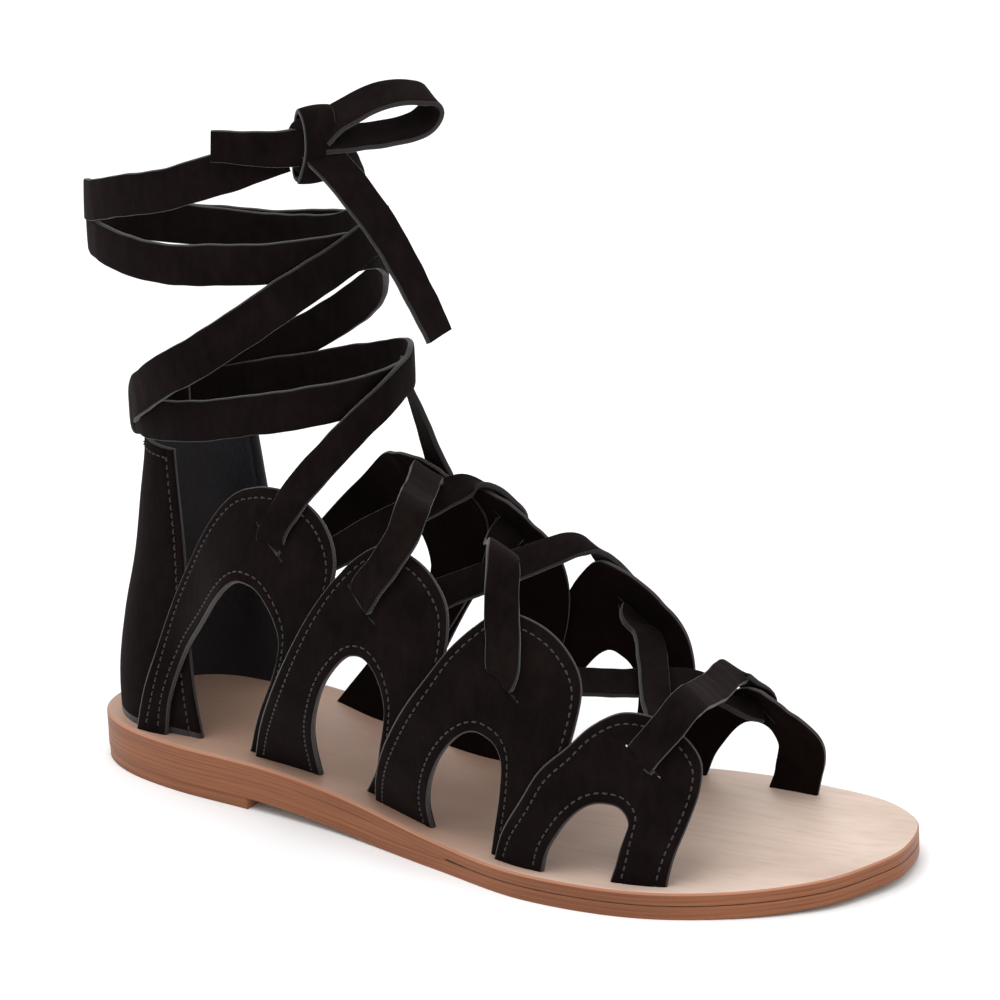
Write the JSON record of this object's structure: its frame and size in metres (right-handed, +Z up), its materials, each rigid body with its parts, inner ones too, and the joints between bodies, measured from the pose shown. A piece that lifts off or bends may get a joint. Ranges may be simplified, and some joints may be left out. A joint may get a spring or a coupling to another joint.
{
  "type": "gladiator sandal",
  "caption": "Flat lace-up gladiator sandal: arched suede side straps, heel counter, long flat lace crossed over the instep, wound round the ankle and tied in a bow.",
  "frame": {"origin": "on the ground, on the flat underside of the heel lift below the middle of the heel", "axes": "+X from heel to toe, +Y to the medial (big toe) side, +Z up"},
  "size_m": [0.2506, 0.0908, 0.2022],
  "materials": {
    "suede": "black suede with a napped surface",
    "lace": "flat black suede lace",
    "insole_leather": "smooth natural vegetable-tanned leather",
    "sole_leather": "burnished leather edge"
  },
  "bodies": {
    "root": {"heel_lift": "sole_leather", "outsole": "sole_leather", "heel_wedge": "sole_leather", "insole": "insole_leather", "heel_counter": "suede", "lateral_arches": "suede", "medial_arches": "suede", "lace_front_bar": "lace", "lace_crossing_toe": "lace", "lace_crossing_instep": "lace", "lace_crossing_top": "lace", "ankle_ties": "lace", "bow_knot": "lace", "bow_loop": "lace", "bow_hanging_end": "lace", "bow_short_end": "lace"}
  },
  "joints": []
}
